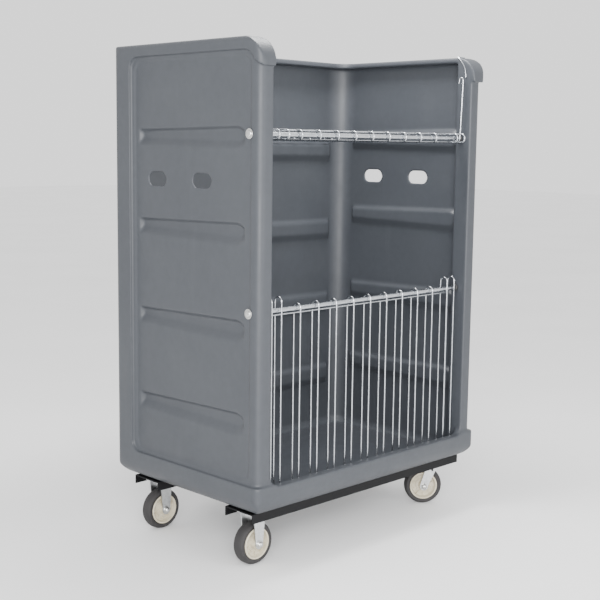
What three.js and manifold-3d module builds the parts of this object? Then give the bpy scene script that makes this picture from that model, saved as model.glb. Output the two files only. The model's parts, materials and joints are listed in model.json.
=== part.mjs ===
// Housekeeping cart: a one-piece moulded plastic tub, open at the top and front, on two steel
// channel rails and four casters, with a hinged wire shelf above and a hinged wire gate below.
// Millimetres, +Z up. X runs along the cart, the open front faces -Y.
// The origin is on the ground, under the centre of the cart's outline.

import * as THREE from "three";
import { mergeVertices } from "three/addons/utils/BufferGeometryUtils.js";
import Module from "manifold-3d";

const wasm = await Module();
wasm.setup();

// ---- driving dimensions -------------------------------------------------------------------

const GAP = 0.3;                 // clearance between pieces that touch

const TUB = {
  length: 1210, depth: 787, top: 1800, bottom: 205,
  cornerRadius: 28,
  sheet: 8,                      // thickness of the moulded skin
  postInset: 13,                 // how far the front posts stand back from rim and skirt
  panelInset: 19,                // how far the end wall panels stand back
  backInset: 32,                 // how far the back wall panel stands back
  baseRound: 68,                 // rounding of the bottom edges
  rimRound: 13,
  rimHeight: 43,
  lipHeight: 21,                 // inner lip of the rim
  rimWidth: 75, backRimWidth: 100,
  skirtTop: 312,
  floorTop: 222,
  sillTop: 303, sillThickness: 38,
  postWidth: 75, postDepth: 85,
  frontCornerRadius: 85,         // rounded top front corner of each end wall
  rearPostDepth: 96,
  panelFrontY: -338,             // where the end wall panel meets the front post
};

const RIB = {
  depth: 17,
  sideCentres: [1476, 1158, 832, 513],
  sideRear: 267, sideFront: -273, sideNose: 30,
  rearHalfHeight: 31, frontHalfHeight: 41,
  backCentres: [1090, 770, 450],
  backHalfHeight: 38, backHalfLength: 500,
  topSlope: 13, lowSlope: 30,    // how much a rib narrows from its mouth to its bottom
};

const LEDGE = { top: 1468.5, height: 70 };
const HAND_HOLE = { centresY: [-83, 161], centreZ: 1328, length: 96, height: 50 };

const ROD = { radius: 8, y: -331, upperZ: 1488, lowerZ: 897.5, bore: 8.4 };
const WIRE = {
  radius: 2.7, rowOffset: 16, pitch: 91, count: 11, endX: 500,
  crossDrop: 19, tallHook: 30,
  hookEnd: 8,                    // how far a hook's end stops above the cross wire
};
const GATE_LENGTH = 628;
const SHELF_LENGTH = 668;
const SHELF_ANGLE = Math.PI / 2;

const RAIL = { halfLength: 572, width: 140, height: 33, wall: 4, frontY: -266, rearY: 250 };

const CASTER = {
  x: 505, wheelRadius: 76.2, treadWidth: 46, hubRadius: 56, hubHalf: 28, boreRadius: 6.1,
  plate: [115, 100, 4], boltX: 38, boltY: 31,
  legInner: 31, legWall: 4, legTop: 56, legFoot: 17,
  axleRadius: 6, trail: 43, crownTop: 176, crownThick: 6, crownRadius: 34,
  frontSwivelAngle: 140, rearSwivelAngle: 166,     // degrees from +X, where the wheel trails
};

// Studs moulded into the floor by their heads, which hold the rails and casters with nuts.
const BOLT = { shank: 4.5, hole: 4.9, head: 8.5, headHeight: 4, headTop: 216, nut: 7.5, nutHeight: 7 };
const ROD_BOLT = { washer: 17, washerThick: 2, head: 10, headHeight: 6 };
const BUSHING = { radius: 13.5, length: 7 };
const HOOK = { x: 513, wire: 2.8, eye: 12.5, rise: 218, lean: 20, curl: 9 };
const KEEPER_RADIUS = 2.5;

const halfLength = TUB.length / 2;
const halfDepth = TUB.depth / 2;
const postOuterX = halfLength - TUB.postInset;
const wallOuterX = halfLength - TUB.panelInset;
const wallInnerX = wallOuterX - TUB.sheet;
const backOuterY = halfDepth - TUB.backInset;
const backInnerY = backOuterY - TUB.sheet;
const postInnerX = halfLength - TUB.postWidth;
const postRearY = -halfDepth + TUB.postDepth;

// ---- materials ----------------------------------------------------------------------------

const finish = (color, roughness, metalness) => () =>
  new THREE.MeshStandardMaterial({ color, roughness, metalness });

const greyPlastic = finish(0x727a80, 0.55, 0.0);
const blackSteel = finish(0x141416, 0.5, 0.4);
const chrome = finish(0xd8dcde, 0.18, 1.0);
const zinc = finish(0xb9bcbd, 0.35, 0.9);
const greyRubber = finish(0x4a4748, 0.8, 0.0);
const creamPlastic = finish(0xc9bfa2, 0.5, 0.0);
const blackPlastic = finish(0x1a1a1b, 0.6, 0.0);

// ---- geometry helpers ---------------------------------------------------------------------

function toSolid(geometry) {
  const bare = geometry.clone();
  bare.deleteAttribute("normal");
  bare.deleteAttribute("uv");
  const merged = mergeVertices(bare, 1e-3);
  const mesh = new wasm.Mesh({
    numProp: 3,
    vertProperties: new Float32Array(merged.attributes.position.array),
    triVerts: new Uint32Array(merged.index.array),
  });
  return new wasm.Manifold(mesh);
}

function toGeometry(solid) {
  const mesh = solid.getMesh();
  const geometry = new THREE.BufferGeometry();
  geometry.setAttribute("position", new THREE.BufferAttribute(mesh.vertProperties.slice(), 3));
  geometry.setIndex(new THREE.BufferAttribute(mesh.triVerts.slice(), 1));
  return geometry;
}

const unite = (solids) => solids.reduce((sum, solid) => sum.add(solid));
const moved = (geometry, x, y, z) => geometry.clone().translate(x, y, z);

function roundedRect(x0, y0, x1, y1, radius) {
  const shape = new THREE.Shape();
  shape.absarc(x1 - radius, y0 + radius, radius, -Math.PI / 2, 0, false);
  shape.absarc(x1 - radius, y1 - radius, radius, 0, Math.PI / 2, false);
  shape.absarc(x0 + radius, y1 - radius, radius, Math.PI / 2, Math.PI, false);
  shape.absarc(x0 + radius, y0 + radius, radius, Math.PI, 1.5 * Math.PI, false);
  shape.closePath();
  return shape;
}

function polygon(points) {
  return new THREE.Shape(points.map(([x, y]) => new THREE.Vector2(x, y)));
}

/** A prism of a plan outline, standing from z0 to z1. */
function upright(shape, z0, z1, curveSegments = 6) {
  const geometry = new THREE.ExtrudeGeometry(shape, {
    depth: z1 - z0, bevelEnabled: false, curveSegments,
  });
  return geometry.translate(0, 0, z0);
}

/** An upright prism whose top and bottom edges are rounded, with its outline grown by `round`. */
function softUpright(shape, z0, z1, round, curveSegments = 5, bevelSegments = 3) {
  const geometry = new THREE.ExtrudeGeometry(shape, {
    depth: z1 - z0 - 2 * round,
    bevelThickness: round, bevelSize: round, bevelSegments, curveSegments,
  });
  return geometry.translate(0, 0, z0 + round);
}

/** A prism whose outline is drawn in the YZ plane, running from x0 to x1. */
function alongX(shape, x0, x1, curveSegments = 6) {
  const geometry = upright(shape, x0, x1, curveSegments);
  const swap = new THREE.Matrix4().makeBasis(
    new THREE.Vector3(0, 1, 0), new THREE.Vector3(0, 0, 1), new THREE.Vector3(1, 0, 0));
  return geometry.applyMatrix4(swap);
}

/** A prism whose outline is drawn in the XZ plane, running from y0 to y1. */
function alongY(shape, y0, y1, curveSegments = 6) {
  const geometry = upright(shape, -y1, -y0, curveSegments);
  const swap = new THREE.Matrix4().makeBasis(
    new THREE.Vector3(1, 0, 0), new THREE.Vector3(0, 0, 1), new THREE.Vector3(0, -1, 0));
  return geometry.applyMatrix4(swap);
}

function block(x0, x1, y0, y1, z0, z1) {
  const geometry = new THREE.BoxGeometry(x1 - x0, y1 - y0, z1 - z0);
  return geometry.translate((x0 + x1) / 2, (y0 + y1) / 2, (z0 + z1) / 2);
}

function cylinder(axis, radius, from, to, segments = 16) {
  const geometry = new THREE.CylinderGeometry(radius, radius, to - from, segments);
  geometry.translate(0, (from + to) / 2, 0);
  if (axis === "x") geometry.rotateZ(-Math.PI / 2);
  if (axis === "z") geometry.rotateX(Math.PI / 2);
  return geometry;
}

/** A closed ring or disc turned about the Y axis from a profile of [radius, y] points. */
function turned(profile, segments = 32) {
  return new THREE.LatheGeometry(profile.map(([r, y]) => new THREE.Vector2(r, y)), segments);
}

/** A wire's centre line: straight between its points, with one sweep step for each point. */
class WirePath extends THREE.Curve {
  constructor(points) {
    super();
    this.points = points;
  }

  getPoint(t, target = new THREE.Vector3()) {
    const place = Math.min(Math.max(t, 0), 1) * (this.points.length - 1);
    const index = Math.min(Math.floor(place), this.points.length - 2);
    return target.lerpVectors(this.points[index], this.points[index + 1], place - index);
  }

  getUtoTmapping(u) {
    return u;
  }
}

function wire(points, radius, sides = 5) {
  const section = new THREE.Shape();
  for (let i = 0; i < sides; i += 1) {
    const angle = (2 * Math.PI * i) / sides;
    const corner = [radius * Math.cos(angle), radius * Math.sin(angle)];
    if (i === 0) section.moveTo(...corner);
    else section.lineTo(...corner);
  }
  section.closePath();
  const path = new WirePath(points);
  return new THREE.ExtrudeGeometry(section, { steps: points.length - 1, extrudePath: path });
}

/** Points of an arc in the YZ plane; angles in degrees from +Y towards +Z. */
function arcYZ(x, y, z, radius, from, to, steps) {
  const points = [];
  for (let i = 0; i <= steps; i += 1) {
    const angle = THREE.MathUtils.degToRad(from + ((to - from) * i) / steps);
    points.push(new THREE.Vector3(x, y + radius * Math.cos(angle), z + radius * Math.sin(angle)));
  }
  return points;
}

const group = new THREE.Group();

function addPart(name, geometry, material, parent = group) {
  const mesh = new THREE.Mesh(geometry, material());
  mesh.name = name;
  parent.add(mesh);
  return mesh;
}

// ---- tub ----------------------------------------------------------------------------------

/** Outline of the tub seen from the front. */
function frontOutline() {
  const low = TUB.baseRound;
  const high = TUB.rimRound;
  const shape = new THREE.Shape();
  shape.absarc(halfLength - low, TUB.bottom + low, low, -Math.PI / 2, 0, false);
  shape.absarc(halfLength - high, TUB.top - high, high, 0, Math.PI / 2, false);
  shape.absarc(-halfLength + high, TUB.top - high, high, Math.PI / 2, Math.PI, false);
  shape.absarc(-halfLength + low, TUB.bottom + low, low, Math.PI, 1.5 * Math.PI, false);
  shape.closePath();
  return shape;
}

/** Outline of the tub seen from the side, with its rounded top front corner. */
function sideOutline() {
  const low = TUB.baseRound;
  const high = TUB.rimRound;
  const front = TUB.frontCornerRadius;
  const shape = new THREE.Shape();
  shape.absarc(halfDepth - low, TUB.bottom + low, low, -Math.PI / 2, 0, false);
  shape.absarc(halfDepth - high, TUB.top - high, high, 0, Math.PI / 2, false);
  shape.absarc(-halfDepth + front, TUB.top - front, front, Math.PI / 2, Math.PI, false);
  shape.absarc(-halfDepth + low, TUB.bottom + low, low, Math.PI, 1.5 * Math.PI, false);
  shape.closePath();
  return shape;
}

/** The tub's outside before its walls are set back. */
function fullBlock() {
  const plan = roundedRect(-halfLength, -halfDepth, halfLength, halfDepth, TUB.cornerRadius);
  const reach = halfLength + 50;
  return toSolid(upright(plan, TUB.bottom - 20, TUB.top + 20, 4))
    .intersect(toSolid(alongX(sideOutline(), -reach, reach, 6)))
    .intersect(toSolid(alongY(frontOutline(), -reach, reach, 6)));
}

/** Side outline of the area between skirt, rim and rear corner post, open to the front. */
function postRecessOutline() {
  const front = -halfDepth - 50;
  const rear = halfDepth - TUB.rearPostDepth;
  const low = TUB.skirtTop;
  const high = TUB.top - TUB.rimHeight;
  const round = 40;
  const bend = 62;               // the rim band turns down this far at the front corner
  const bendY = -halfDepth + 85;
  const shape = new THREE.Shape();
  shape.moveTo(front, low);
  shape.lineTo(rear - round, low);
  shape.absarc(rear - round, low + round, round, -Math.PI / 2, 0, false);
  shape.absarc(rear - round, high - round, round, 0, Math.PI / 2, false);
  shape.absarc(bendY, high - bend, bend, Math.PI / 2, Math.PI * 0.86, false);
  shape.lineTo(front, high - bend - 30);
  shape.closePath();
  return shape;
}

/** The panel of an end wall, set further back than the posts. */
function panelRecessOutline() {
  const rear = halfDepth - TUB.rearPostDepth - 12;
  return roundedRect(TUB.panelFrontY, TUB.skirtTop + 12, rear,
    TUB.top - TUB.rimHeight - 12, 42);
}

/** A rib on an end wall: a tapered bar whose mouth is at x = 0 and which points to +X. */
function sideRib(centre, depth, grow) {
  const outline = (top, low, ends) => {
    const rear = RIB.sideRear + grow - ends;
    const front = RIB.sideFront - grow + ends;
    const nose = front - RIB.sideNose;
    return [
      [rear, centre - RIB.rearHalfHeight - grow + low],
      [rear, centre + RIB.rearHalfHeight + grow - top],
      [front, centre + RIB.frontHalfHeight + grow - top],
      [nose, centre + RIB.frontHalfHeight + grow - top - 14],
      [nose, centre - RIB.frontHalfHeight - grow + low + 14],
      [front, centre - RIB.frontHalfHeight - grow + low],
    ];
  };
  return frustum(outline(0, 0, 0), outline(RIB.topSlope, RIB.lowSlope, RIB.topSlope), depth,
    ([y, z], x) => [x, y, z]);
}

/** A rib on the back wall: mouth at y = 0, pointing to -Y. */
function backRib(centre, halfHeight, depth, grow) {
  const outline = (top, low) => {
    const w = RIB.backHalfLength + grow - top;
    const h = halfHeight + grow;
    return [[-w, centre - h + low], [w, centre - h + low], [w, centre + h - top],
      [-w, centre + h - top]];
  };
  return frustum(outline(0, 0), outline(RIB.topSlope, RIB.lowSlope), depth,
    ([x, z], y) => [x, -y, z]);
}

/** A closed solid between two outlines of the same number of points, `depth` apart. */
function frustum(mouth, bottom, depth, place) {
  const count = mouth.length;
  const positions = [];
  for (const point of mouth) positions.push(...place(point, 0));
  for (const point of bottom) positions.push(...place(point, depth));
  const index = [];
  for (let i = 1; i < count - 1; i += 1) {
    index.push(0, i + 1, i);
    index.push(count, count + i, count + i + 1);
  }
  for (let i = 0; i < count; i += 1) {
    const next = (i + 1) % count;
    index.push(i, next, count + next);
    index.push(i, count + next, count + i);
  }
  const geometry = new THREE.BufferGeometry();
  geometry.setAttribute("position", new THREE.Float32BufferAttribute(positions, 3));
  geometry.setIndex(index);
  const normalSide = signedVolume(geometry);
  if (normalSide < 0) flip(geometry);
  return geometry;
}

function signedVolume(geometry) {
  const position = geometry.attributes.position;
  const index = geometry.index.array;
  const corner = (i) => new THREE.Vector3().fromBufferAttribute(position, index[i]);
  let volume = 0;
  for (let i = 0; i < index.length; i += 3) {
    volume += corner(i).dot(corner(i + 1).cross(corner(i + 2))) / 6;
  }
  return volume;
}

function flip(geometry) {
  const index = geometry.index.array;
  for (let i = 0; i < index.length; i += 3) {
    [index[i + 1], index[i + 2]] = [index[i + 2], index[i + 1]];
  }
}

function solidFromIndexed(geometry) {
  return new wasm.Manifold(new wasm.Mesh({
    numProp: 3,
    vertProperties: new Float32Array(geometry.attributes.position.array),
    triVerts: new Uint32Array(geometry.index.array),
  }));
}

function mirroredX(geometry) {
  const copy = geometry.clone().scale(-1, 1, 1);
  copy.setIndex([...copy.index.array]);
  flip(copy);
  return copy;
}

/** Pockets outside (grow = 0) or the matching bulges inside (grow = sheet) on all three walls. */
function ribSolids(grow) {
  const start = grow > 0 ? grow - 2 : -2;
  const depth = RIB.depth + 2;
  const solids = [];
  for (const centre of RIB.sideCentres) {
    const left = moved(sideRib(centre, depth, grow), -wallOuterX + start, 0, 0);
    solids.push(solidFromIndexed(left));
    solids.push(solidFromIndexed(mirroredX(left)));
  }
  const ledgeCentre = LEDGE.top - LEDGE.height / 2 - TUB.sheet;
  const backRibs = RIB.backCentres.map((centre) => [centre, RIB.backHalfHeight]);
  for (const [centre, halfHeight] of [...backRibs, [ledgeCentre, LEDGE.height / 2]]) {
    const rib = backRib(centre, halfHeight, depth, grow);
    solids.push(solidFromIndexed(moved(rib, 0, backOuterY - start, 0)));
  }
  return solids;
}

/** The space inside the walls, between floor and rim. */
function cavity() {
  const round = 25;
  const corner = 88;
  const front = -halfDepth + TUB.sillThickness;
  const lower = roundedRect(-wallInnerX + round, front + round, wallInnerX - round,
    backInnerY - round, 42);
  const upper = roundedRect(-wallInnerX, front, wallInnerX, backInnerY, corner);
  return toSolid(softUpright(lower, TUB.floorTop, TUB.top - 200, round, 4, 2))
    .intersect(toSolid(upright(roundedRect(-wallInnerX, front, wallInnerX, backInnerY, 67),
      TUB.floorTop - 1, TUB.top - 300, 5)))
    .add(toSolid(upright(upper, TUB.floorTop + 60, TUB.top - TUB.lipHeight, 5)));
}

function tubInterior() {
  let interior = cavity();
  for (const bulge of ribSolids(TUB.sheet)) interior = interior.subtract(bulge);
  const reach = halfLength + 50;
  for (const [x0, x1] of [[-reach, -postInnerX], [postInnerX, reach]]) {
    const post = block(x0, x1, -halfDepth - 50, postRearY, 0, TUB.top + 50);
    interior = interior.subtract(toSolid(post));
  }
  const front = roundedRect(-postInnerX, TUB.sillTop, postInnerX, TUB.top + 200, 38);
  const lipY = halfDepth - TUB.backRimWidth;
  const mouth = roundedRect(-postInnerX, -halfDepth - 200, postInnerX, lipY, 60);
  return interior.add(toSolid(alongY(front, -halfDepth - 50, postRearY)))
    .add(toSolid(upright(mouth, TUB.top - 120, TUB.top + 50, 5)));
}

function obround(length, height) {
  return roundedRect(-length / 2, -height / 2, length / 2, height / 2, height / 2 - 0.01);
}

function handHoles() {
  const holes = [];
  for (const y of HAND_HOLE.centresY) {
    const hole = alongX(obround(HAND_HOLE.length, HAND_HOLE.height), -halfLength - 20,
      halfLength + 20);
    holes.push(toSolid(moved(hole, 0, y, HAND_HOLE.centreZ)));
  }
  return holes;
}

function rodBores() {
  return [ROD.upperZ, ROD.lowerZ].map((z) =>
    toSolid(moved(cylinder("x", ROD.bore, -halfLength - 20, halfLength + 20), 0, ROD.y, z)));
}

function plateBoltPlaces() {
  const places = [];
  for (const x of [-CASTER.x, CASTER.x]) {
    for (const y of [RAIL.frontY, RAIL.rearY]) {
      for (const bx of [-1, 1]) {
        for (const by of [-1, 1]) {
          places.push([x + bx * CASTER.boltX, y + by * CASTER.boltY]);
        }
      }
    }
  }
  return places;
}

/** The blind pocket in the floor that a stud's head and shank fill, open below. */
function studPocket(x, y) {
  const headLow = BOLT.headTop - BOLT.headHeight;
  const shaft = cylinder("z", BOLT.hole, TUB.bottom - 20, BOLT.headTop, 8);
  const seat = cylinder("z", BOLT.head + GAP, headLow - GAP, BOLT.headTop + GAP, 8);
  return toSolid(moved(shaft, x, y, 0)).add(toSolid(moved(seat, x, y, 0)));
}

/** The end walls and the back wall, set back from rim and skirt. */
function setBackWalls(whole) {
  const reach = halfLength + 50;
  const insetBlock = (inset, front) => toSolid(upright(
    roundedRect(-halfLength + inset, front, halfLength - inset, halfDepth - 1, 26),
    TUB.bottom + 60, TUB.top - 20, 4));
  const postRecess = toSolid(alongX(postRecessOutline(), -reach, reach));
  const panelRecess = toSolid(alongX(panelRecessOutline(), -reach, reach));
  const backRecess = toSolid(alongY(
    roundedRect(-halfLength + 95, TUB.skirtTop, halfLength - 95, TUB.top - TUB.rimHeight, 40),
    backOuterY, halfDepth + 50));
  const posts = whole.subtract(postRecess)
    .add(insetBlock(TUB.postInset, -halfDepth + TUB.postInset));
  return posts.subtract(panelRecess)
    .add(insetBlock(TUB.panelInset, -halfDepth + TUB.postInset))
    .subtract(backRecess);
}

function tub() {
  const reach = halfLength + 50;
  let outer = setBackWalls(fullBlock())
    .intersect(toSolid(alongX(sideOutline(), -reach, reach)));
  for (const pocket of ribSolids(0)) outer = outer.subtract(pocket);
  let solid = outer.subtract(tubInterior());
  for (const hole of [...handHoles(), ...rodBores()]) solid = solid.subtract(hole);
  for (const [x, y] of plateBoltPlaces()) solid = solid.subtract(studPocket(x, y));
  return toGeometry(solid);
}

addPart("cart_body", tub(), greyPlastic);

// ---- rails --------------------------------------------------------------------------------

function rail(centreY) {
  const top = TUB.bottom - GAP;
  const low = top - RAIL.height;
  const half = RAIL.width / 2;
  const t = RAIL.wall;
  const outline = polygon([
    [-half, low], [-half + t, low], [-half + t, top - t], [half - t, top - t],
    [half - t, low], [half, low], [half, top], [-half, top],
  ]);
  let solid = toSolid(moved(alongX(outline, -RAIL.halfLength, RAIL.halfLength), 0, centreY, 0));
  for (const [x, y] of plateBoltPlaces()) {
    if (Math.sign(y) !== Math.sign(centreY)) continue;
    const hole = moved(cylinder("z", BOLT.hole, low, top + 5, 8), x, y, 0);
    solid = solid.subtract(toSolid(hole));
  }
  return toGeometry(solid);
}

addPart("front_rail", rail(RAIL.frontY), blackSteel);
addPart("rear_rail", rail(RAIL.rearY), blackSteel);

const railUnderside = TUB.bottom - GAP - RAIL.wall;
const plateTop = railUnderside - GAP;
const plateUnderside = plateTop - CASTER.plate[2];

function plateBolt() {
  const headLow = BOLT.headTop - BOLT.headHeight;
  const nutTop = plateUnderside - GAP;
  const parts = [
    cylinder("z", BOLT.shank, nutTop - BOLT.nutHeight - 3, headLow + 1, 6),
    cylinder("z", BOLT.head, headLow, BOLT.headTop, 8),
    cylinder("z", BOLT.nut, nutTop - BOLT.nutHeight, nutTop, 6),
  ];
  return toGeometry(unite(parts.map(toSolid)));
}

plateBoltPlaces().forEach(([x, y], i) => {
  addPart(`plate_bolt_${i + 1}`, plateBolt(), zinc).position.set(x, y, 0);
});

// ---- rods and their fittings --------------------------------------------------------------

const rodEndX = postOuterX - 1;

function rodBolt() {
  const start = postOuterX + GAP;
  const washer = cylinder("x", ROD_BOLT.washer, start, start + ROD_BOLT.washerThick, 20);
  const head = cylinder("x", ROD_BOLT.head, start, start + ROD_BOLT.washerThick
    + ROD_BOLT.headHeight, 6);
  return toGeometry(toSolid(washer).add(toSolid(head)));
}

function bushing() {
  const inner = ROD.radius + GAP;
  const profile = [[inner, 0], [BUSHING.radius, 0], [BUSHING.radius, BUSHING.length],
    [inner, BUSHING.length], [inner, 0]];
  return turned(profile, 16).rotateZ(-Math.PI / 2);
}

for (const [level, z] of [["upper", ROD.upperZ], ["lower", ROD.lowerZ]]) {
  const rod = cylinder("x", ROD.radius, -rodEndX, rodEndX, 16);
  addPart(`${level}_rod`, rod, chrome).position.set(0, ROD.y, z);
  for (const [side, sign] of [["left", -1], ["right", 1]]) {
    const bolt = addPart(`${level}_rod_bolt_${side}`, rodBolt(), zinc);
    bolt.position.set(0, ROD.y, z);
    if (sign < 0) bolt.rotation.z = Math.PI;
    const bush = addPart(`${level}_bushing_${side}`, bushing(), blackPlastic);
    const faceX = postInnerX - GAP - BUSHING.length;
    bush.position.set(sign * faceX, ROD.y, z);
    if (sign < 0) bush.rotation.z = Math.PI;
  }
}

// ---- wire panels --------------------------------------------------------------------------

/** One wire of a panel: down behind the rod, round the far end, up in front, over the rod. */
function panelWire(x, length, hookLift) {
  const r = WIRE.rowOffset;
  const end = -length + r + WIRE.radius;
  const points = [
    new THREE.Vector3(x, r, -WIRE.crossDrop),
    ...arcYZ(x, 0, end, r, 0, -180, 3),
    ...arcYZ(x, 0, hookLift, r, 180, 0, 5),
    new THREE.Vector3(x, r, -WIRE.crossDrop + WIRE.hookEnd),
  ];
  return wire(points, WIRE.radius);
}

function crossWire(y, z, halfSpan) {
  return moved(cylinder("x", WIRE.radius, -halfSpan, halfSpan, 6), 0, y, z);
}

/** A panel hanging from its rod, whose axis is the X axis. */
function wirePanel(length) {
  const solids = [];
  const middle = (WIRE.count - 1) / 2;
  for (let i = 0; i < WIRE.count; i += 1) {
    const last = i === 0 || i === WIRE.count - 1;
    solids.push(toSolid(panelWire((i - middle) * WIRE.pitch, length,
      last ? WIRE.tallHook : 0)));
  }
  for (const side of [-1, 1]) {
    solids.push(toSolid(panelWire(side * WIRE.endX, length, WIRE.tallHook)));
  }
  const reach = WIRE.endX + 1;
  solids.push(toSolid(crossWire(WIRE.rowOffset - 1.5, -WIRE.crossDrop + 1, reach)));
  solids.push(toSolid(crossWire(0, -length + WIRE.radius + 1.5, reach)));
  return toGeometry(unite(solids));
}

addPart("wire_gate", wirePanel(GATE_LENGTH), chrome).position.set(0, ROD.y, ROD.lowerZ);
const shelf = addPart("wire_shelf", wirePanel(SHELF_LENGTH), chrome);
shelf.position.set(0, ROD.y, ROD.upperZ);
shelf.rotation.x = SHELF_ANGLE;

// ---- hold-up hook -------------------------------------------------------------------------

function holdUpHook() {
  const topZ = HOOK.rise;
  const points = [
    ...arcYZ(0, 0, 0, HOOK.eye, 15, -200, 7),
    new THREE.Vector3(0, -HOOK.eye - 1, 22),
    new THREE.Vector3(0, -HOOK.lean, topZ),
    ...arcYZ(0, -HOOK.lean + HOOK.curl, topZ + 6, HOOK.curl, 180, -20, 6),
    new THREE.Vector3(0, -HOOK.lean + 2 * HOOK.curl + 2, topZ - 6),
  ];
  return wire(points, HOOK.wire);
}

addPart("shelf_hook", holdUpHook(), chrome).position.set(HOOK.x, ROD.y, ROD.upperZ);

/** Wire clip over the rounded top corner of the right end wall, which the hook is parked in. */
function hookKeeper() {
  const r = KEEPER_RADIUS;
  const lip = postInnerX - GAP - r - 0.5;
  const over = TUB.top + r + GAP;
  const points = [
    [lip, -353, 1722], [lip, -352, 1740], [lip, -347, 1762], [lip, -333, 1782],
    [lip + 1, -311, over + 1], [lip + 10, -305, over], [lip + 40, -302, over],
    [halfLength - 22, -302, over],
  ];
  return wire(points.map(([x, y, z]) => new THREE.Vector3(x, y, z)), r);
}

addPart("hook_keeper", hookKeeper(), chrome);

// ---- casters ------------------------------------------------------------------------------

function tread() {
  const outer = CASTER.wheelRadius;
  const half = CASTER.treadWidth / 2;
  const inner = CASTER.hubRadius + GAP;
  const profile = [[inner, -half + 2], [inner + 12, -half], [outer - 6, -half + 3],
    [outer - 1, -half + 9], [outer, 0], [outer - 1, half - 9], [outer - 6, half - 3],
    [inner + 12, half], [inner, half - 2], [inner, -half + 2]];
  return turned(profile, 28);
}

function hub() {
  const rim = CASTER.hubRadius;
  const half = CASTER.treadWidth / 2 + 1;
  const boss = CASTER.hubHalf;
  const bore = CASTER.boreRadius;
  const profile = [[bore, -boss], [16, -boss], [19, -6], [rim - 9, -5], [rim - 6, -half],
    [rim, -half + 3], [rim, half - 3], [rim - 6, half], [rim - 9, 5], [19, 6], [16, boss],
    [bore, boss], [bore, -boss]];
  return turned(profile, 28);
}

const legOuter = CASTER.legInner + CASTER.legWall;

function axle() {
  const headLow = -legOuter - GAP - 7;
  const head = cylinder("y", 11, headLow, headLow + 7, 6);
  const shank = cylinder("y", CASTER.axleRadius, headLow + 3, legOuter + 12, 12);
  return toGeometry(toSolid(head).add(toSolid(shank)));
}

function axleNut() {
  const start = legOuter + GAP;
  const inner = CASTER.axleRadius + GAP;
  const body = toSolid(cylinder("y", 11, start, start + 8, 6));
  const bore = toSolid(cylinder("y", inner, start - 5, start + 13, 12));
  return toGeometry(body.subtract(bore));
}

/** One side of a fork: a plate that tapers from `topHalf` at topX to a round foot at the axle. */
function forkLeg(topX, topHalf, topZ, footX) {
  const foot = CASTER.legFoot;
  const shape = new THREE.Shape();
  shape.moveTo(topX + topHalf, topZ);
  shape.lineTo(topX - topHalf, topZ);
  shape.absarc(footX, CASTER.wheelRadius, foot, Math.PI * 0.95, Math.PI * 2.05, false);
  shape.closePath();
  return shape;
}

function forkLegs(topX, topHalf, topZ, footX) {
  const outline = forkLeg(topX, topHalf, topZ, footX);
  return [[-legOuter, -CASTER.legInner], [CASTER.legInner, legOuter]].map(([y0, y1]) =>
    toSolid(alongY(outline, y0, y1)));
}

function axleHole(x) {
  const radius = CASTER.axleRadius + GAP;
  return toSolid(moved(cylinder("y", radius, -legOuter - 10, legOuter + 10, 12), x, 0,
    CASTER.wheelRadius));
}

function mountingPlate() {
  const [length, width] = CASTER.plate;
  let solid = toSolid(upright(roundedRect(-length / 2, -width / 2, length / 2, width / 2, 10),
    plateUnderside, plateTop, 3));
  for (const bx of [-1, 1]) {
    for (const by of [-1, 1]) {
      const hole = moved(cylinder("z", BOLT.hole, plateUnderside - 5, plateTop + 5, 8),
        bx * CASTER.boltX, by * CASTER.boltY, 0);
      solid = solid.subtract(toSolid(hole));
    }
  }
  return solid;
}

function rigidFork() {
  let solid = mountingPlate();
  for (const leg of forkLegs(0, CASTER.legTop / 2, plateUnderside + 2, 0)) solid = solid.add(leg);
  return toGeometry(solid.subtract(axleHole(0)));
}

const crownLow = CASTER.crownTop - CASTER.crownThick;
const raceLow = CASTER.crownTop + GAP;

function swivelTopPlate() {
  const race = toSolid(cylinder("z", CASTER.crownRadius, raceLow, plateUnderside + 1, 28));
  const pin = toSolid(cylinder("z", 7 + GAP, raceLow - 5, plateTop + 5, 12));
  return toGeometry(mountingPlate().add(race).subtract(pin));
}

function kingpin() {
  const shank = toSolid(cylinder("z", 7, crownLow - 1, plateTop - GAP, 12));
  const nut = toSolid(cylinder("z", 11, crownLow - GAP - 7, crownLow - GAP, 6));
  return toGeometry(shank.add(nut));
}

function swivelFork() {
  const crown = toSolid(cylinder("z", CASTER.crownRadius + 2, crownLow, CASTER.crownTop, 28));
  let solid = crown;
  for (const leg of forkLegs(6, 24, CASTER.crownTop - 1, CASTER.trail)) solid = solid.add(leg);
  const slot = roundedRect(-4, -9, 4, 9, 3.9);
  const slotHole = toSolid(moved(alongY(slot, -legOuter - 5, legOuter + 5).rotateY(0.45),
    12, 0, 148));
  const pinHole = toSolid(cylinder("z", 7 + GAP, crownLow - 5, CASTER.crownTop + 5, 12));
  return toGeometry(solid.subtract(slotHole).subtract(pinHole).subtract(axleHole(CASTER.trail)));
}

/** Wheel, axle and nut, with the axle along the parent's Y axis at height wheelRadius. */
function addWheel(name, parent, x) {
  const parts = [[`${name}_tread`, tread(), greyRubber], [`${name}_hub`, hub(), creamPlastic],
    [`${name}_axle`, axle(), zinc], [`${name}_axle_nut`, axleNut(), zinc]];
  for (const [partName, geometry, material] of parts) {
    addPart(partName, geometry, material, parent).position.set(x, 0, CASTER.wheelRadius);
  }
}

function casterGroup(x, y, angle = 0) {
  const caster = new THREE.Group();
  caster.position.set(x, y, 0);
  caster.rotation.z = THREE.MathUtils.degToRad(angle);
  group.add(caster);
  return caster;
}

for (const [end, y] of [["front", RAIL.frontY], ["rear", RAIL.rearY]]) {
  const name = `${end}_rigid`;
  const caster = casterGroup(-CASTER.x, y);
  addPart(`${name}_fork`, rigidFork(), zinc, caster);
  addWheel(name, caster, 0);
}

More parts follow.
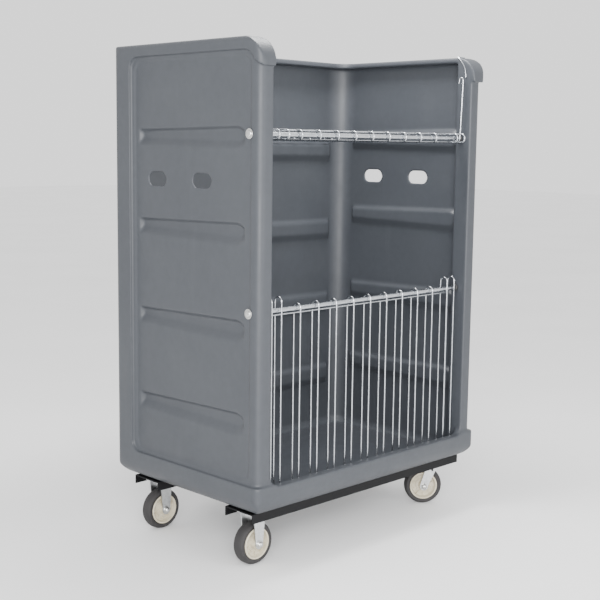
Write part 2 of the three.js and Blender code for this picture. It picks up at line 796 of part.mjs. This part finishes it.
for (const [end, y, angle] of [["front", RAIL.frontY, CASTER.frontSwivelAngle],
  ["rear", RAIL.rearY, CASTER.rearSwivelAngle]]) {
  const name = `${end}_swivel`;
  const fixed = casterGroup(CASTER.x, y);
  addPart(`${name}_top_plate`, swivelTopPlate(), zinc, fixed);
  addPart(`${name}_kingpin`, kingpin(), zinc, fixed);
  const caster = casterGroup(CASTER.x, y, angle);
  addPart(`${name}_fork`, swivelFork(), zinc, caster);
  addWheel(name, caster, CASTER.trail);
}

export default group;
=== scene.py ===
"""Housekeeping cart: the visual model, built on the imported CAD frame. Metres, +Z up."""
import json
import math

import bmesh
import bpy
from mathutils import Matrix, Vector

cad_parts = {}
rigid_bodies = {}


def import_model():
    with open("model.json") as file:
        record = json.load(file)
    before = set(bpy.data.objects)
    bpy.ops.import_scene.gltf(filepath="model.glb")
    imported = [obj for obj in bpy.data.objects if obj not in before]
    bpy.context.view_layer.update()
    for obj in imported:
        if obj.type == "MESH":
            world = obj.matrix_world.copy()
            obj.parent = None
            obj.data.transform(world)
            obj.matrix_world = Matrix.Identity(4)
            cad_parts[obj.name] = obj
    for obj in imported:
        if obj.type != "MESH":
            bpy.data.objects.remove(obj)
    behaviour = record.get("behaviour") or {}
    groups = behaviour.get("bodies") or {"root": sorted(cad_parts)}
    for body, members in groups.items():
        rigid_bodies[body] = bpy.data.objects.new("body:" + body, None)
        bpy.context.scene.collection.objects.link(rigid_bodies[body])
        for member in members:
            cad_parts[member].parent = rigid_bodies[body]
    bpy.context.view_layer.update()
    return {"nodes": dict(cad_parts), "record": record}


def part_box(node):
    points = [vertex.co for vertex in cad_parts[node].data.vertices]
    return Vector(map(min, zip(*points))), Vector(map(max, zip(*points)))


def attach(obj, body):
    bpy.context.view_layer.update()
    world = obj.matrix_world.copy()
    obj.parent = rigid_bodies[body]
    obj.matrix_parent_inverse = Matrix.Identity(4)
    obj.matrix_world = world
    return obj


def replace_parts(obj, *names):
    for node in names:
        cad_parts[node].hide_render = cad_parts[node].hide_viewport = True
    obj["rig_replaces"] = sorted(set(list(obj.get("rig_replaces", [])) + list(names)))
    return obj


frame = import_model()

NODES = frame["nodes"]
RECORD = frame["record"]
JOINTS = {joint["name"]: joint for joint in RECORD["behaviour"]["joints"]}
BODY_OF = {
    node: body for body, nodes in RECORD["behaviour"]["bodies"].items() for node in nodes
}
SLOT_OF = {row["node"]: row["material_slot"] for row in RECORD["subparts"]}

WHEELS = ("front_rigid", "rear_rigid", "front_swivel", "rear_swivel")

VOXEL = 0.0042               # size of the tub's surface cells while its edges are softened
SMOOTH_STEPS = 7
KEPT_FACES = 0.16            # share of the softened tub's faces that stay
CRISP_ANGLE = 30.0           # degrees; a new mesh is shaded flat across sharper edges
BEVEL_WIDTH = 0.0012         # edge rounding of the CAD nodes that keep their own mesh
BEVEL_ANGLE = 25.0
AXIS_GAP = 0.0003            # a turned solid starts this far from its axis

# wire panels: each wire loops down behind its rod and up in front of it
WIRE_RADIUS = 0.0027
ROW_OFFSET = 0.016
WIRE_PITCH = 0.091
WIRE_COUNT = 11
END_WIRE_X = 0.500
CROSS_DROP = 0.019           # the cross wire behind the rod hangs this far below it
HOOK_END = 0.008             # a hook's end stops this far above the cross wire
TALL_HOOK = 0.030

# hold-up hook and the clip that parks it
HOOK_WIRE = 0.0028
HOOK_EYE = 0.0125
HOOK_CURL = 0.009
HOOK_LEAN = 0.020
HOOK_RISE = 0.218
KEEPER_WIRE = 0.0025
KEEPER_SINK = 0.0007         # keeps the clip's rounded bends under its CAD box

# fasteners and bushings
WASHER_THICK = 0.0022
COLLAR = 0.0112              # radius of a bolt head's collar
HEAD_RADIUS = 0.0110
BUSH_BORE = 0.0083
BUSH_CHAMFER = 0.002

# casters
TREAD_HALF = 0.023
HUB_RIM = 0.056
TREAD_ROUND = 0.0062         # how far the tread's edges fall away from its crown
WHEEL_SEGMENTS = 128
RIB_COUNT = 10
RIB_SIZE = (0.0150, 0.0060, 0.0022)     # along the radius, along the axle, thickness
RIB_PLACE = (0.0390, 0.0098)            # a rib's middle, from the axle and from the wheel's middle
BEARING_INNER = 0.0200                  # a bearing ring's faces, from the wheel's middle
BEARING_OUTER = 0.0290
LEG_OUTER = 0.035            # outer face of a fork leg, from the wheel's middle
AXLE_RADIUS = 0.0058
NUT_DOME = 0.0075            # height of an axle nut's dome

# floor, light and camera; angles in degrees, power in watts
FLOOR_HALF = 30
WORLD_LIGHT = 1.5
LAMPS = (                    # name, place, target, size, power
    ("key", (-3.9, -3.9, 2.1), (0.2, 0, 0.9), (2.8, 2.4), 420),
    ("front", (0.7, -4.6, 1.5), (0.2, 0, 0.9), (1.6, 1.4), 60),
    ("inside", (0.05, -0.1, 2.7), (0.1, 0, 0.8), (0.8, 0.4), 52),
)
CAMERA_PLACE = (-3.0943, -3.0558, 1.4511)
CAMERA_YAW = 45.197
CAMERA_PITCH = 7.769
CAMERA_ROLL = 0.725
CAMERA_LENS = 67.81


# ---- materials ----------------------------------------------------------------------------

class Nodes:
    """A material's node tree, with short calls to add and join nodes."""

    def __init__(self, name):
        self.material = bpy.data.materials.new(name)
        self.material.use_nodes = True
        self.tree = self.material.node_tree
        self.shader = self.tree.nodes["Principled BSDF"]
        self.coords = self.add("ShaderNodeTexCoord").outputs["Object"]

    def add(self, kind, **values):
        node = self.tree.nodes.new(kind)
        for key, value in values.items():
            if hasattr(node, key):
                setattr(node, key, value)
            else:
                node.inputs[key.replace("_", " ")].default_value = value
        return node

    def link(self, source, target):
        self.tree.links.new(source, target)

    def noise(self, scale, detail, roughness, stretch=None):
        node = self.add("ShaderNodeTexNoise", Scale=scale, Detail=detail, Roughness=roughness)
        source = self.coords
        if stretch:
            mapping = self.add("ShaderNodeMapping")
            mapping.inputs["Scale"].default_value = stretch
            self.link(source, mapping.inputs["Vector"])
            source = mapping.outputs["Vector"]
        self.link(source, node.inputs["Vector"])
        return node.outputs["Fac"]

    def ramp(self, source, low, high, start=0.35, end=0.65):
        """Two colours, or two grey levels, spread over a range of the source."""
        node = self.add("ShaderNodeValToRGB")
        node.color_ramp.elements[0].position = start
        node.color_ramp.elements[1].position = end
        for element, value in zip(node.color_ramp.elements, (low, high)):
            if isinstance(value, (int, float)):
                value = (value, value, value)
            element.color = (*value, 1.0)
        self.link(source, node.inputs["Fac"])
        return node.outputs["Color"]

    def mix(self, factor, first, second, blend="MIX"):
        node = self.add("ShaderNodeMix", data_type="RGBA", blend_type=blend)
        for socket, value in ((node.inputs[0], factor), (node.inputs[6], first),
                              (node.inputs[7], second)):
            if isinstance(value, (int, float)):
                socket.default_value = value
            elif isinstance(value, tuple):
                socket.default_value = (*value, 1.0)
            else:
                self.link(value, socket)
        return node.outputs[2]

    def bump(self, *layers):
        """Stacks (height source, strength, distance) layers onto the shader's normal."""
        normal = None
        for source, strength, distance in layers:
            node = self.add("ShaderNodeBump", Strength=strength, Distance=distance)
            self.link(source, node.inputs["Height"])
            if normal:
                self.link(normal, node.inputs["Normal"])
            normal = node.outputs["Normal"]
        self.link(normal, self.shader.inputs["Normal"])

    def set(self, **values):
        for key, value in values.items():
            socket = self.shader.inputs[key.replace("_", " ")]
            if isinstance(value, tuple):
                value = (*value, 1.0)
            socket.default_value = value


def make_plastic():
    m = Nodes("moulded_grey")
    broad = m.noise(2.2, 4.0, 0.6)
    fine = m.noise(38.0, 5.0, 0.65)
    streaks = m.noise(9.0, 6.0, 0.7, stretch=(1.0, 1.0, 0.12))
    base = m.ramp(broad, (0.040, 0.044, 0.052), (0.049, 0.054, 0.062), 0.3, 0.7)
    base = m.mix(0.35, base, m.ramp(fine, (0.039, 0.043, 0.050), (0.051, 0.056, 0.065)))
    base = m.mix(m.ramp(streaks, 0.0, 0.30, 0.60, 0.78), base, (0.070, 0.077, 0.086))
    scuffs = m.noise(24.0, 8.0, 0.75, stretch=(1.0, 1.0, 3.0))
    height = m.add("ShaderNodeSeparateXYZ")
    m.link(m.coords, height.inputs[0])
    low = m.add("ShaderNodeMapRange", From_Min=0.20, From_Max=0.42, To_Min=0.55, To_Max=0.0)
    m.link(height.outputs["Z"], low.inputs["Value"])
    dirt = m.mix(1.0, m.ramp(scuffs, 0.0, 1.0, 0.52, 0.70), low.outputs["Result"], "MULTIPLY")
    base = m.mix(dirt, base, (0.036, 0.039, 0.043))
    m.link(base, m.shader.inputs["Base Color"])
    m.link(m.ramp(m.noise(6.0, 5.0, 0.6), 0.40, 0.56, 0.3, 0.7), m.shader.inputs["Roughness"])
    m.bump((m.noise(3.2, 2.0, 0.4), 0.35, 0.006), (m.noise(420.0, 2.0, 0.5), 0.10, 0.0006),
           (m.noise(26.0, 3.0, 0.5), 0.16, 0.0015))
    m.set(Specular_IOR_Level=0.45)
    return m.material


def make_metal(name, light, dark, rough, scratch=0.25):
    m = Nodes(name)
    cloud = m.noise(55.0, 5.0, 0.65)
    spots = m.noise(340.0, 3.0, 0.6)
    base = m.mix(0.5, m.ramp(cloud, dark, light), m.ramp(spots, dark, light, 0.4, 0.6))
    m.link(base, m.shader.inputs["Base Color"])
    lines = m.noise(160.0, 4.0, 0.7, stretch=(1.0, 1.0, 0.06))
    m.link(m.ramp(lines, rough * 0.7, rough * 1.4, 0.3, 0.7), m.shader.inputs["Roughness"])
    m.bump((lines, scratch, 0.0002), (spots, 0.08, 0.0002))
    m.set(Metallic=1.0)
    return m.material


def make_paint():
    m = Nodes("black_paint")
    cloud = m.noise(18.0, 6.0, 0.7)
    base = m.ramp(cloud, (0.003, 0.003, 0.0035), (0.007, 0.007, 0.008))
    chips = m.noise(70.0, 8.0, 0.8)
    base = m.mix(m.ramp(chips, 0.0, 0.5, 0.70, 0.74), base, (0.05, 0.048, 0.045))
    m.link(base, m.shader.inputs["Base Color"])
    m.link(m.ramp(cloud, 0.45, 0.62), m.shader.inputs["Roughness"])
    m.set(Specular_IOR_Level=0.16)
    m.bump((m.noise(240.0, 2.0, 0.5), 0.25, 0.0006))
    return m.material


def make_rubber():
    m = Nodes("grey_rubber_tread")
    cloud = m.noise(30.0, 6.0, 0.7)
    base = m.ramp(cloud, (0.014, 0.013, 0.0135), (0.028, 0.026, 0.0265))
    dust = m.noise(120.0, 8.0, 0.75)
    base = m.mix(m.ramp(dust, 0.0, 0.4, 0.60, 0.76), base, (0.070, 0.065, 0.060))
    m.link(base, m.shader.inputs["Base Color"])
    m.link(m.ramp(cloud, 0.62, 0.85), m.shader.inputs["Roughness"])
    m.bump((m.noise(500.0, 3.0, 0.6), 0.30, 0.0005), (dust, 0.12, 0.0008))
    return m.material


def make_cream():
    m = Nodes("cream_hub")
    cloud = m.noise(26.0, 5.0, 0.65)
    base = m.ramp(cloud, (0.47, 0.42, 0.31), (0.60, 0.55, 0.43))
    grime = m.noise(90.0, 8.0, 0.75)
    base = m.mix(m.ramp(grime, 0.0, 0.55, 0.56, 0.75), base, (0.25, 0.22, 0.17))
    m.link(base, m.shader.inputs["Base Color"])
    m.link(m.ramp(cloud, 0.30, 0.50), m.shader.inputs["Roughness"])
    m.bump((m.noise(260.0, 3.0, 0.5), 0.14, 0.0005))
    return m.material


def make_black_plastic():
    m = Nodes("black_bushing")
    cloud = m.noise(60.0, 5.0, 0.65)
    m.link(m.ramp(cloud, (0.012, 0.012, 0.012), (0.035, 0.034, 0.034)),
           m.shader.inputs["Base Color"])
    m.link(m.ramp(cloud, 0.40, 0.62), m.shader.inputs["Roughness"])
    m.bump((m.noise(420.0, 2.0, 0.5), 0.2, 0.0004))
    return m.material


MATERIALS = {
    "grey_plastic": make_plastic(),
    "black_steel": make_paint(),
    "bolt_zinc": make_metal("bolt_zinc", (0.72, 0.72, 0.70), (0.50, 0.50, 0.49), 0.30),
    "wire_chrome": make_metal("bright_wire", (0.64, 0.66, 0.69), (0.46, 0.48, 0.51), 0.24, 0.12),
    "caster_zinc": make_metal("caster_zinc", (0.70, 0.71, 0.71), (0.46, 0.47, 0.48), 0.34),
    "grey_rubber": make_rubber(),
    "cream_plastic": make_cream(),
    "black_plastic": make_black_plastic(),
}


def paint(obj, slot):
    obj.data.materials.clear()
    obj.data.materials.append(MATERIALS[slot])


def settle(obj, slot, node):
    """Gives a new piece its material, its slot, its body and the CAD node it stands for."""
    paint(obj, slot)
    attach(obj, BODY_OF[node])
    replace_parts(obj, node)


# ---- mesh and curve tools -----------------------------------------------------------------

def link(obj):
    bpy.context.scene.collection.objects.link(obj)
    return obj


def mesh_object(name, bm):
    bmesh.ops.recalc_face_normals(bm, faces=bm.faces)
    for face in bm.faces:
        face.smooth = True
    for edge in bm.edges:
        edge.smooth = edge.calc_face_angle(0.0) < math.radians(CRISP_ANGLE)
    mesh = bpy.data.meshes.new(name)
    bm.to_mesh(mesh)
    bm.free()
    return link(bpy.data.objects.new(name, mesh))


def apply_modifiers(obj):
    """Replaces an object's mesh by the result of its modifiers."""
    graph = bpy.context.evaluated_depsgraph_get()
    mesh = bpy.data.meshes.new_from_object(obj.evaluated_get(graph))
    obj.modifiers.clear()
    obj.data = mesh


def wires(name, paths, radius):
    """One curve object with a round wire along each path."""
    curve = bpy.data.curves.new(name, "CURVE")
    curve.dimensions = "3D"
    curve.bevel_depth = radius
    curve.bevel_resolution = 5
    curve.use_fill_caps = True
    for path in paths:
        spline = curve.splines.new("POLY")
        spline.points.add(len(path) - 1)
        for point, place in zip(spline.points, path):
            point.co = (*place, 1.0)
        spline.use_smooth = True
    return link(bpy.data.objects.new(name, curve))


def arc(centre, radius, start, end, steps=14):
    """Points of an arc in the YZ plane, angles in degrees from +Y towards +Z."""
    x, y, z = centre
    points = []
    for i in range(steps + 1):
        angle = math.radians(start + (end - start) * i / steps)
        points.append((x, y + radius * math.cos(angle), z + radius * math.sin(angle)))
    return points


def soft_edges(node):
    """Rounds the edges of a CAD node that keeps its own mesh, and paints it."""
    obj = NODES[node]
    paint(obj, SLOT_OF[node])
    bevel = obj.modifiers.new("edges", "BEVEL")
    bevel.width = BEVEL_WIDTH
    bevel.segments = 2
    bevel.angle_limit = math.radians(BEVEL_ANGLE)


def lathe(profile, segments):
    """A closed turned solid about the Y axis from (radius, y) points; the loop closes itself."""
    bm = bmesh.new()
    rings = []
    for i in range(segments):
        angle = 2 * math.pi * i / segments
        rings.append([bm.verts.new((r * math.cos(angle), y, r * math.sin(angle)))
                      for r, y in profile])
    for i in range(segments):
        here, after = rings[i], rings[(i + 1) % segments]
        for j in range(len(profile)):
            k = (j + 1) % len(profile)
            bm.faces.new((here[j], here[k], after[k], after[j]))
    return bm


def lay_along(bm, place, axis):
    """Turns a mesh from its own Y axis to an axis of the frame and moves it to its place."""
    turn = Vector((0, 1, 0)).rotation_difference(Vector(axis)).to_matrix()
    bmesh.ops.rotate(bm, verts=bm.verts, matrix=turn)
    bmesh.ops.translate(bm, verts=bm.verts, vec=Vector(place))


def turned_piece(name, profile, place, axis, segments=64):
    bm = lathe(profile, segments)
    lay_along(bm, place, axis)
    return mesh_object(name, bm)


def centre_of(node):
    low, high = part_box(node)
    return (Vector(low) + Vector(high)) / 2


# ---- tub ----------------------------------------------------------------------------------

def build_tub():
    """The moulded tub: its CAD shape with every edge softened as moulding leaves it."""
    source = NODES["cart_body"]
    tub = link(bpy.data.objects.new("tub_moulding", source.data.copy()))
    remesh = tub.modifiers.new("cells", "REMESH")
    remesh.mode = "VOXEL"
    remesh.voxel_size = VOXEL
    remesh.use_smooth_shade = True
    smooth = tub.modifiers.new("soften", "SMOOTH")
    smooth.factor = 0.5
    smooth.iterations = SMOOTH_STEPS
    thin = tub.modifiers.new("thin", "DECIMATE")
    thin.ratio = KEPT_FACES
    apply_modifiers(tub)
    for polygon in tub.data.polygons:
        polygon.use_smooth = True
    settle(tub, "grey_plastic", "cart_body")


# ---- rods, wire panels and hook -----------------------------------------------------------

def panel_paths(length):
    """Centre lines of a panel's wires about its rod, hanging down; the rod is the X axis."""
    end = -length + ROW_OFFSET + WIRE_RADIUS
    middle = (WIRE_COUNT - 1) / 2
    places = [((i - middle) * WIRE_PITCH, i in (0, WIRE_COUNT - 1)) for i in range(WIRE_COUNT)]
    places += [(-END_WIRE_X, True), (END_WIRE_X, True)]
    paths = []
    for x, tall in places:
        lift = TALL_HOOK if tall else 0.0
        path = [(x, ROW_OFFSET, -CROSS_DROP)]
        path += arc((x, 0, end), ROW_OFFSET, 0, -180)
        path += arc((x, 0, lift), ROW_OFFSET, 180, 0)
        path.append((x, ROW_OFFSET, -CROSS_DROP + HOOK_END))
        paths.append(path)
    reach = END_WIRE_X + 0.001
    cross_z = -CROSS_DROP + 0.001
    low_z = -length + WIRE_RADIUS + 0.0015
    paths.append([(-reach, ROW_OFFSET - 0.0015, cross_z), (reach, ROW_OFFSET - 0.0015, cross_z)])
    paths.append([(-reach, 0, low_z), (reach, 0, low_z)])
    return paths


def placed(paths, joint, quarter_turns=0):
    """Moves paths drawn about the X axis to a joint, turned by quarter turns about +X."""
    origin = Vector(JOINTS[joint]["pos_m"])
    turn = Matrix.Rotation(quarter_turns * math.pi / 2, 3, "X")
    return [[tuple(origin + turn @ Vector(p)) for p in path] for path in paths]


def build_panels():
    gate_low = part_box("wire_gate")[0]
    rod_z = JOINTS["gate_hinge"]["pos_m"][2]
    gate = wires("gate_wires", placed(panel_paths(rod_z - gate_low[2]), "gate_hinge"),
                 WIRE_RADIUS)
    settle(gate, "wire_chrome", "wire_gate")
    shelf_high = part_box("wire_shelf")[1]
    rod_y = JOINTS["shelf_hinge"]["pos_m"][1]
    shelf = wires("shelf_wires", placed(panel_paths(shelf_high[1] - rod_y), "shelf_hinge", 1),
                  WIRE_RADIUS)
    settle(shelf, "wire_chrome", "wire_shelf")


def build_rod(name, node):
    """A round bar along X with chamfered ends that fills a node's box."""
    chamfer = 0.001
    low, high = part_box(node)
    radius = (high[2] - low[2]) / 2
    half = (high[0] - low[0]) / 2
    profile = [(0.0005, -half), (radius - chamfer, -half), (radius, -half + chamfer),
               (radius, half - chamfer), (radius - chamfer, half), (0.0005, half)]
    rod = turned_piece(name, profile, centre_of(node), (1, 0, 0), 48)
    settle(rod, "wire_chrome", node)


# ---- hook and keeper ----------------------------------------------------------------------

def smooth_path(points):
    """Rounds the corners of a path by cutting them three times; its ends stay."""
    for _ in range(3):
        out = [points[0]]
        for a, b in zip(points, points[1:]):
            a, b = Vector(a), Vector(b)
            out += [tuple(a.lerp(b, 0.25)), tuple(a.lerp(b, 0.75))]
        out.append(points[-1])
        points = out
    return points


def build_hook():
    path = arc((0, 0, 0), HOOK_EYE, 15, -200, 20)
    path += [(0, -HOOK_EYE - 0.001, 0.022), (0, -HOOK_LEAN, HOOK_RISE)]
    path += arc((0, -HOOK_LEAN + HOOK_CURL, HOOK_RISE + 0.006), HOOK_CURL, 180, -20, 12)
    path.append((0, -HOOK_LEAN + 2 * HOOK_CURL + 0.002, HOOK_RISE - 0.006))
    hook = wires("hold_up_hook", placed([path], "hook_pivot"), HOOK_WIRE)
    settle(hook, "wire_chrome", "shelf_hook")


def build_keeper():
    low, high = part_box("hook_keeper")
    x, front, base = low[0] + KEEPER_WIRE, low[1] + KEEPER_WIRE, low[2]
    over, back = high[2] - KEEPER_WIRE - KEEPER_SINK, high[1] - KEEPER_WIRE
    path = [(x, front, base + 0.001), (x, front + 0.001, base + 0.018),
            (x, front + 0.006, base + 0.040), (x, front + 0.020, base + 0.060),
            (x + 0.001, front + 0.042, over + 0.001), (x + 0.010, back - 0.003, over),
            (x + 0.040, back, over), (high[0] - 0.001, back, over)]
    keeper = wires("hook_keeper_wire", [smooth_path(path)], KEEPER_WIRE)
    settle(keeper, "wire_chrome", "hook_keeper")


# ---- fasteners ----------------------------------------------------------------------------

def dome(radius, base, height):
    """Profile points of a domed head from its rim at base up to its crown."""
    steps = 8
    points = []
    for i in range(steps + 1):
        angle = 0.5 * math.pi * i / steps
        points.append((max(radius * math.cos(angle), AXIS_GAP), base + height * math.sin(angle)))
    return points


def rod_bolt_profile(washer, height):
    """A washer of that radius with a domed head on it, as (radius, height) points."""
    thick = WASHER_THICK
    profile = [(AXIS_GAP, 0), (washer - 0.0006, 0), (washer, 0.0006), (washer, thick - 0.0006),
               (washer - 0.0008, thick), (COLLAR, thick), (COLLAR, thick + 0.0014)]
    return profile + dome(HEAD_RADIUS, thick + 0.0016, height - thick - 0.0016)


def build_rod_bolts():
    for level in ("upper", "lower"):
        for side, sign in (("left", -1), ("right", 1)):
            node = f"{level}_rod_bolt_{side}"
            low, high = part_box(node)
            inner, outer = (low[0], high[0]) if sign > 0 else (-high[0], -low[0])
            place = centre_of(node)
            place.x = sign * inner
            profile = rod_bolt_profile((high[2] - low[2]) / 2, outer - inner)
            piece = turned_piece(f"{level}_bolt_head_{side}", profile, place, (sign, 0, 0))
            settle(piece, "bolt_zinc", node)


def build_bushings():
    for level in ("upper", "lower"):
        for side in ("left", "right"):
            node = f"{level}_bushing_{side}"
            low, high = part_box(node)
            radius, half = (high[2] - low[2]) / 2, (high[0] - low[0]) / 2
            profile = [(BUSH_BORE, -half), (radius - BUSH_CHAMFER, -half),
                       (radius, -half + BUSH_CHAMFER), (radius, half - BUSH_CHAMFER),
                       (radius - BUSH_CHAMFER, half), (BUSH_BORE, half)]
            piece = turned_piece(f"{level}_bush_{side}", profile, centre_of(node), (1, 0, 0))
            settle(piece, "black_plastic", node)


# ---- casters ------------------------------------------------------------------------------

def tread_profile(radius):
    half = TREAD_HALF
    inner = HUB_RIM + 0.0002
    points = [(inner, -half + 0.002), (inner + 0.004, -half + 0.0006), (inner + 0.011, -half),
              (inner + 0.0125, -half + 0.0008)]
    for i in range(13):
        angle = math.pi * (i / 12 - 0.5)
        bulge = abs(math.sin(angle)) ** 3.2
        points.append((radius - TREAD_ROUND * bulge, (half - 0.0012) * math.sin(angle)))
    points += [(inner + 0.0125, half - 0.0008), (inner + 0.011, half),
               (inner + 0.004, half - 0.0006), (inner, half - 0.002)]
    return points


def hub_profile():
    """Cross-section of the hub: boss, stepped dish and raised outer ring, on both sides."""
    half = TREAD_HALF + 0.001
    side = [(0.0061, 0.0278), (0.0150, 0.0278), (0.0162, 0.0266), (0.0178, 0.0150),
            (0.0205, 0.0095), (0.0260, 0.0088), (0.0268, 0.0112), (0.0300, 0.0114),
            (0.0310, 0.0086), (0.0400, 0.0072), (0.0450, 0.0080), (0.0478, 0.0120),
            (0.0492, half - 0.0030), (0.0502, half - 0.0004), (0.0515, half),
            (0.0545, half), (HUB_RIM - 0.0004, half - 0.0010), (HUB_RIM, half - 0.0028)]
    return [(r, -y) for r, y in side] + [(r, y) for r, y in reversed(side)]


def hub_ribs(bm):
    """Moulded ribs that stand in the dish on both sides of the hub's web."""
    for i in range(RIB_COUNT):
        turn = Matrix.Rotation(2 * math.pi * (i + 0.5) / RIB_COUNT, 4, "Y")
        for sign in (-1, 1):
            made = bmesh.ops.create_cube(bm, size=1.0)["verts"]
            shape = Matrix.Diagonal((*RIB_SIZE, 1.0))
            place = Matrix.Translation((RIB_PLACE[0], sign * RIB_PLACE[1], 0.0))
            bmesh.ops.transform(bm, matrix=turn @ place @ shape, verts=made)


def axle_line(name):
    """Where a wheel's axle is and which way it points."""
    joint = JOINTS[f"{name}_wheel_spin"]
    return joint["pos_m"], joint["axis"]


def build_tread(name):
    place, axis = axle_line(name)
    tread = turned_piece(f"{name}_tyre", tread_profile(place[2]), place, axis,
                         WHEEL_SEGMENTS)
    settle(tread, "grey_rubber", f"{name}_tread")


def build_hub(name):
    place, axis = axle_line(name)
    bm = lathe(hub_profile(), WHEEL_SEGMENTS)
    hub_ribs(bm)
    lay_along(bm, place, axis)
    hub = mesh_object(f"{name}_wheel_hub", bm)
    settle(hub, "cream_plastic", f"{name}_hub")


def build_bearings(name):
    """A bearing ring in each end of the hub's bore."""
    place, axis = axle_line(name)
    ring = [(0.0064, BEARING_INNER), (0.0125, BEARING_INNER), (0.0125, BEARING_OUTER - 0.0006),
            (0.0118, BEARING_OUTER), (0.0070, BEARING_OUTER), (0.0064, BEARING_OUTER - 0.0006)]
    for side, sign in (("a", -1), ("b", 1)):
        piece = turned_piece(f"{name}_bearing_{side}", ring, place,
                             tuple(sign * a for a in axis))
        paint(piece, "caster_zinc")
        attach(piece, BODY_OF[f"{name}_hub"])


def build_axle(name):
    """Both halves of the axle, each with a domed nut outside its fork leg."""
    place, axis = axle_line(name)
    start = LEG_OUTER + 0.0002
    profile = [(AXIS_GAP, -0.030), (AXLE_RADIUS, -0.030), (AXLE_RADIUS, start), (0.0135, start),
               (0.0138, start + 0.0004), (0.0138, start + 0.0016), (0.0132, start + 0.0020),
               (0.0110, start + 0.0020), (0.0112, start + 0.0045)]
    profile += dome(0.0108, start + 0.0050, NUT_DOME)
    nodes = [f"{name}_axle", f"{name}_axle_nut"]
    for node, sign in zip(nodes, (-1, 1)):
        piece = turned_piece(f"{name}_cap_nut_{'a' if sign < 0 else 'b'}", profile, place,
                             tuple(sign * a for a in axis))
        settle(piece, "bolt_zinc", node)


# ---- run ----------------------------------------------------------------------------------

build_tub()
build_panels()
build_rod("upper_bar", "upper_rod")
build_rod("lower_bar", "lower_rod")
build_hook()
build_keeper()
build_rod_bolts()
build_bushings()
for wheel_name in WHEELS:
    build_tread(wheel_name)
    build_hub(wheel_name)
    build_bearings(wheel_name)
    build_axle(wheel_name)

REPLACED = {node for obj in bpy.data.objects for node in obj.get("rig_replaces", [])}
for node_name in NODES:
    if node_name not in REPLACED:
        soft_edges(node_name)


# ---- floor, light and camera --------------------------------------------------------------

def build_stage():
    bm = bmesh.new()
    bmesh.ops.create_grid(bm, x_segments=1, y_segments=1, size=FLOOR_HALF)
    floor = mesh_object("floor", bm)
    m = Nodes("pale_floor")
    m.link(m.ramp(m.noise(0.8, 3.0, 0.5), (0.92, 0.92, 0.92), (0.95, 0.95, 0.95)),
           m.shader.inputs["Base Color"])
    m.set(Roughness=0.75, Specular_IOR_Level=0.2)
    floor.data.materials.append(m.material)


def area_light(name, place, target, size, power):
    data = bpy.data.lights.new(name, "AREA")
    data.shape = "RECTANGLE"
    data.size, data.size_y = size
    data.energy = power
    lamp = link(bpy.data.objects.new(name, data))
    lamp.location = place
    aim = Vector(target) - Vector(place)
    lamp.rotation_euler = aim.to_track_quat("-Z", "Y").to_euler()
    lamp.visible_camera = False


def build_light():
    world = bpy.data.worlds.new("studio")
    world.use_nodes = True
    background = world.node_tree.nodes["Background"]
    background.inputs["Color"].default_value = (1.0, 1.0, 1.0, 1.0)
    background.inputs["Strength"].default_value = WORLD_LIGHT
    bpy.context.scene.world = world
    for lamp in LAMPS:
        area_light(*lamp)


def build_camera():
    yaw, pitch, roll = (math.radians(a) for a in (CAMERA_YAW, CAMERA_PITCH, CAMERA_ROLL))
    forward = Vector((math.sin(yaw) * math.cos(pitch), math.cos(yaw) * math.cos(pitch),
                      -math.sin(pitch)))
    level = Vector((math.cos(yaw), -math.sin(yaw), 0.0))
    up = level.cross(forward)
    right = math.cos(roll) * level + math.sin(roll) * up
    above = -math.sin(roll) * level + math.cos(roll) * up
    data = bpy.data.cameras.new("camera")
    data.lens = CAMERA_LENS
    data.sensor_width = 36.0
    camera = link(bpy.data.objects.new("camera", data))
    turn = Matrix((right, above, -forward)).transposed().to_4x4()
    camera.matrix_world = Matrix.Translation(CAMERA_PLACE) @ turn
    bpy.context.scene.camera = camera


build_stage()
build_light()
build_camera()
